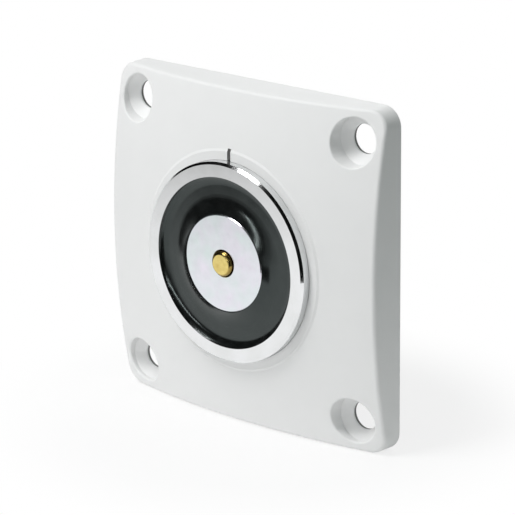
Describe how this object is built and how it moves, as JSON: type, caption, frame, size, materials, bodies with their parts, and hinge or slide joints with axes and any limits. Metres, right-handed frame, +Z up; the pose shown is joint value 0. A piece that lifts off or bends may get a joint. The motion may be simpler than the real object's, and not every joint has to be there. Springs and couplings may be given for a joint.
{
  "type": "electromagnetic door holder",
  "caption": "Square white wall plate with a domed front round a plated steel magnet cup, its core, a dished black resin ring and a sprung brass ejector pin, for holding a door open.",
  "frame": {"origin": "centre of the screw square, on the wall's face at the plate's back", "axes": "+Z up, +Y into the wall, the magnet faces -Y"},
  "size_m": [0.085, 0.046, 0.085],
  "materials": {
    "plate_plastic": "satin",
    "plated_cup": "bright nickel plate",
    "core_steel": "ground",
    "zinc_steel": "zinc plate",
    "spring_steel": "drawn",
    "brass": "turned",
    "resin": "glossy cast resin",
    "bobbin_nylon": "moulded",
    "copper_wire": "enamelled copper",
    "insulation_board": "pressed board",
    "grommet_rubber": "matt",
    "red_insulation": "extruded",
    "black_insulation": "extruded",
    "terminal_plastic": "moulded",
    "diode_case": "moulded"
  },
  "bodies": {
    "holder": {"cover_plate": "plate_plastic", "magnet_pot": "plated_cup", "retaining_ring": "zinc_steel", "retaining_screws": "zinc_steel", "pole_core": "core_steel", "core_lock_washer": "zinc_steel", "core_nut": "zinc_steel", "ejector_spring": "spring_steel", "spring_grub_screw": "zinc_steel", "insulating_disc": "insulation_board", "coil_bobbin": "bobbin_nylon", "coil_winding": "copper_wire", "potting_ring": "resin", "lead_grommet": "grommet_rubber", "lead_red": "red_insulation", "lead_black": "black_insulation", "terminal_body": "terminal_plastic", "terminal_cages": "brass", "terminal_clamp_screws": "zinc_steel", "terminal_fixing_screw": "zinc_steel", "suppression_diode": "diode_case"},
    "ejector": {"ejector_pin": "brass"}
  },
  "joints": [
    {"name": "ejector_press", "type": "slide", "parent": "holder", "child": "ejector", "axis": [0, 1, 0], "range_m": [0, 0.001], "stiffness_N_per_m": 600, "springref_m": -0.005, "deforming": ["ejector_spring"]}
  ]
}
